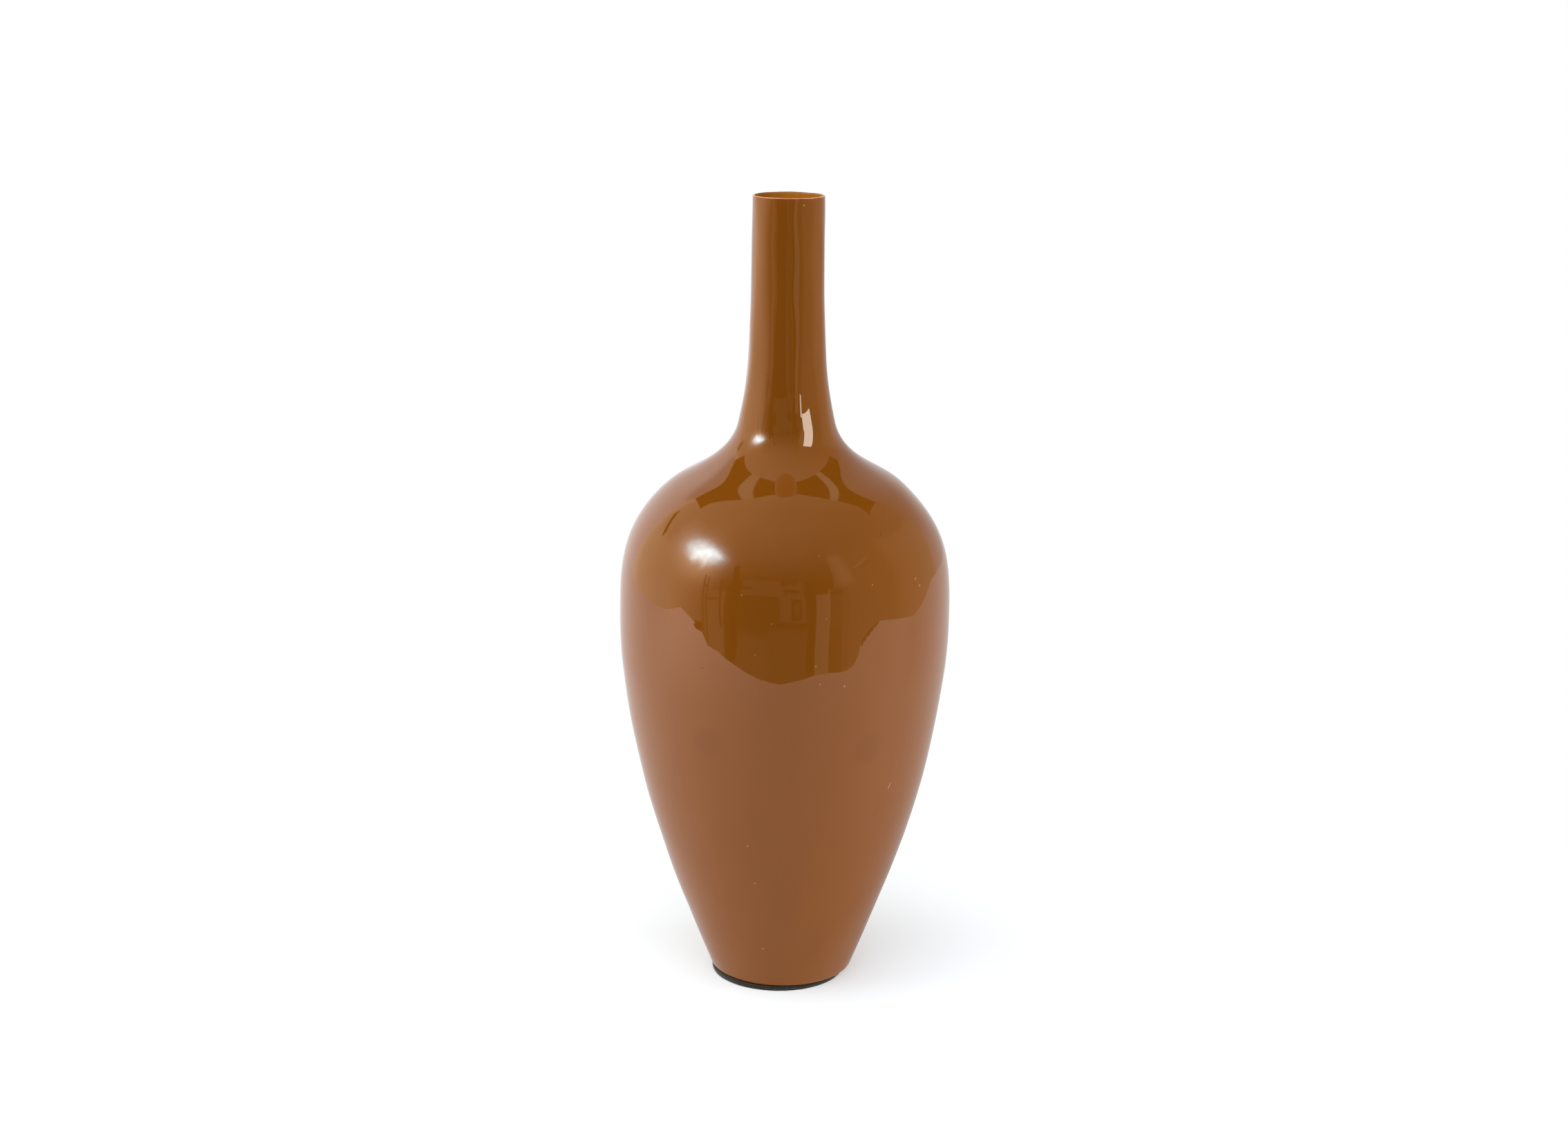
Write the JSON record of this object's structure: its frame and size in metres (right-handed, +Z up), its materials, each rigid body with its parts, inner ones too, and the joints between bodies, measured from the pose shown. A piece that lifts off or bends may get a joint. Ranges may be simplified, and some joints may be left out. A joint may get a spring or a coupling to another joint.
{
  "type": "bottle vase",
  "caption": "Tall slender-necked metal bottle vase: tapering body, wide rounded shoulder, flared neck, open mouth, felt foot pad.",
  "frame": {"origin": "where the vase's axis meets the surface that it stands on", "axes": "+Z up the axis towards the mouth, -Y towards the side that the picture shows"},
  "size_m": [0.166, 0.166, 0.4],
  "materials": {
    "enamel": "gloss",
    "coated_weld": "satin",
    "adhesive": "matte",
    "felt": "matte"
  },
  "bodies": {
    "root": {"lower_shell": "enamel", "shoulder_shell": "enamel", "neck_flare": "enamel", "neck_tube": "enamel", "belly_weld": "coated_weld", "shoulder_weld": "coated_weld", "neck_weld": "coated_weld", "pad_adhesive": "adhesive", "foot_pad": "felt"}
  },
  "joints": []
}
